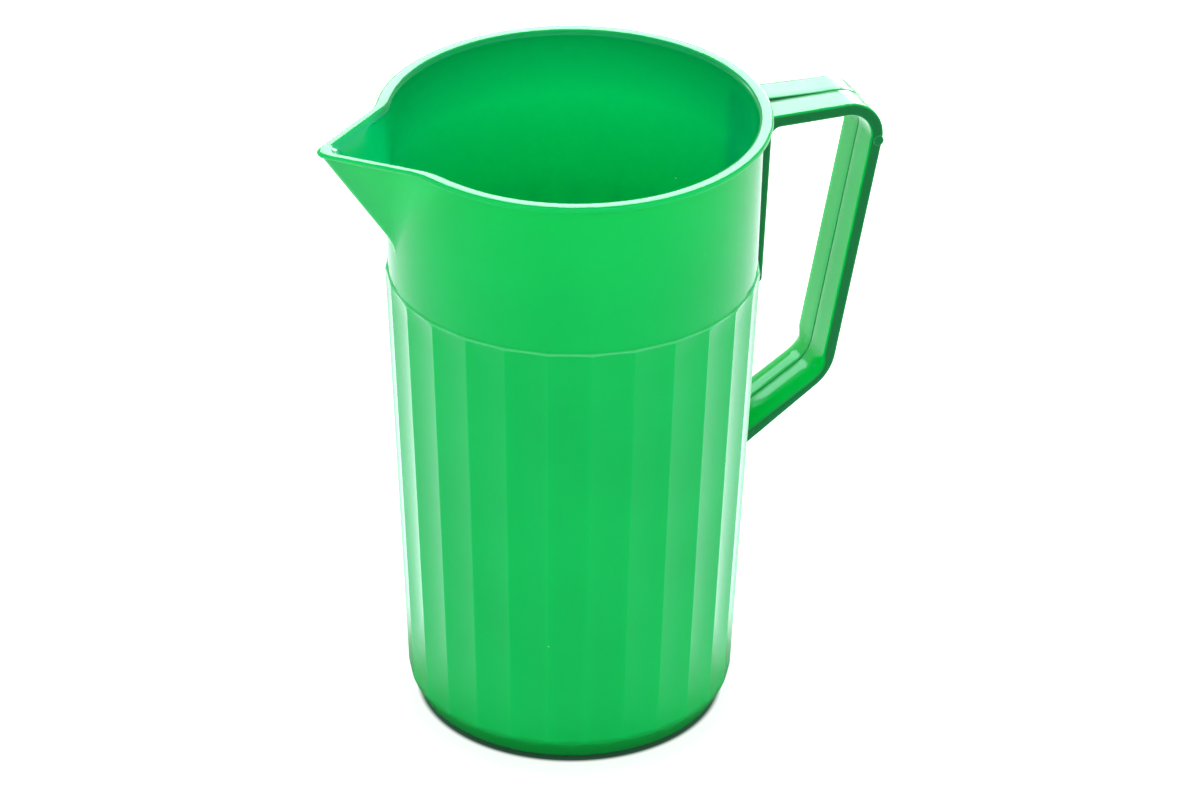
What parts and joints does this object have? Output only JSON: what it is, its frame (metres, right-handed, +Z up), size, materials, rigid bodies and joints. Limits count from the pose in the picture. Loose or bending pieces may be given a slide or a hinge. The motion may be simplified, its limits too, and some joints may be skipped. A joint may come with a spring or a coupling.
{
  "type": "plastic jug",
  "caption": "Tall tapered green plastic jug with a fluted lower body, smooth upper band, beaded rim, V-shaped pouring spout and a flat strap handle in two seamed halves.",
  "frame": {"origin": "middle of the flat base, on the jug's own axis, where it stands on a table", "axes": "+Z up along the jug's axis, +X from the axis out to the handle, so the spout points along -X, and +Y across the handle's width"},
  "size_m": [0.1625, 0.11, 0.1859],
  "materials": {
    "green_plastic": "glossy moulded plastic with fine scuffs",
    "handle_plastic": "glossy moulded plastic with a seam on the middle plane"
  },
  "bodies": {
    "root": {"jug_body": "green_plastic", "handle_near_half": "handle_plastic", "handle_far_half": "handle_plastic"}
  },
  "joints": []
}
